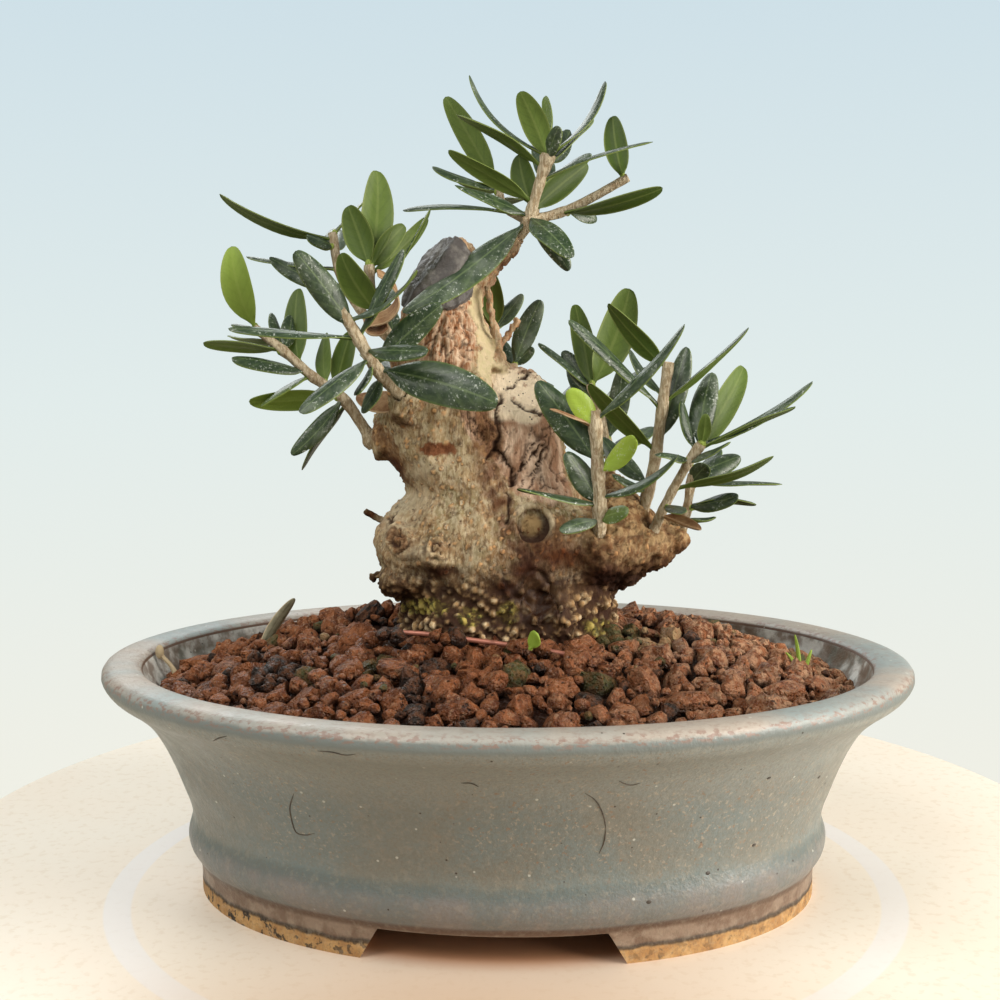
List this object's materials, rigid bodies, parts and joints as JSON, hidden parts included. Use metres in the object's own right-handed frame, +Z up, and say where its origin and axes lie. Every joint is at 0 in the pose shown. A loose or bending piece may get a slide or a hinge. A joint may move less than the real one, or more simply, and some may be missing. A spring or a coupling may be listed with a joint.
{
  "type": "wild olive bonsai",
  "caption": "Small wild olive tree with a thick gnarled trunk and leathery leaves, growing in grit in an oval glazed stoneware pot on two cut feet.",
  "frame": {"origin": "on the surface the pot stands on, under the middle of the pot", "axes": "+Z up, +X to the right seen from the tree's front, +Y away from the viewer"},
  "size_m": [0.163, 0.128, 0.163],
  "materials": {
    "stoneware_glaze": "satin grey-blue glaze with ochre freckles, rust-brown where it breaks, bare ochre clay on the feet",
    "lava_grit": "damp reddish-brown porous lava and clay grains",
    "olive_wood": "matt grey-beige bark with tan lenticels, weathered deadwood, corky foot",
    "sealant_skin": "matt dark grey wrinkled skin of wound sealant",
    "copper_wire": "copper-pink coating, satin",
    "drain_mesh": "black moulded plastic mesh",
    "olive_leaf": "leathery leaves, dark satin green above, paler olive green below, on grey-beige twigs",
    "dry_leaf": "dry grey-olive leaf and tan sprout, matt",
    "fresh_green": "fresh light green blades"
  },
  "bodies": {
    "root": {"pot": "stoneware_glaze", "soil": "lava_grit", "trunk": "olive_wood", "wound_sealant": "sealant_skin", "tie_wire": "copper_wire", "drain_mesh_left": "drain_mesh", "drain_mesh_right": "drain_mesh", "fallen_leaf": "dry_leaf", "dry_sprout": "dry_leaf", "green_scrap": "fresh_green", "grass": "fresh_green", "spray_top": "olive_leaf", "spray_left_front": "olive_leaf", "spray_left_far": "olive_leaf", "spray_left_upper": "olive_leaf", "spray_left_inner": "olive_leaf", "spray_right_front": "olive_leaf", "spray_right_tall": "olive_leaf", "spray_right_outer": "olive_leaf", "spray_right_low": "olive_leaf", "spray_right_back": "olive_leaf", "spray_back_middle": "olive_leaf", "spray_back_top": "olive_leaf", "spray_back_left": "olive_leaf", "spray_back_low": "olive_leaf"}
  },
  "joints": []
}
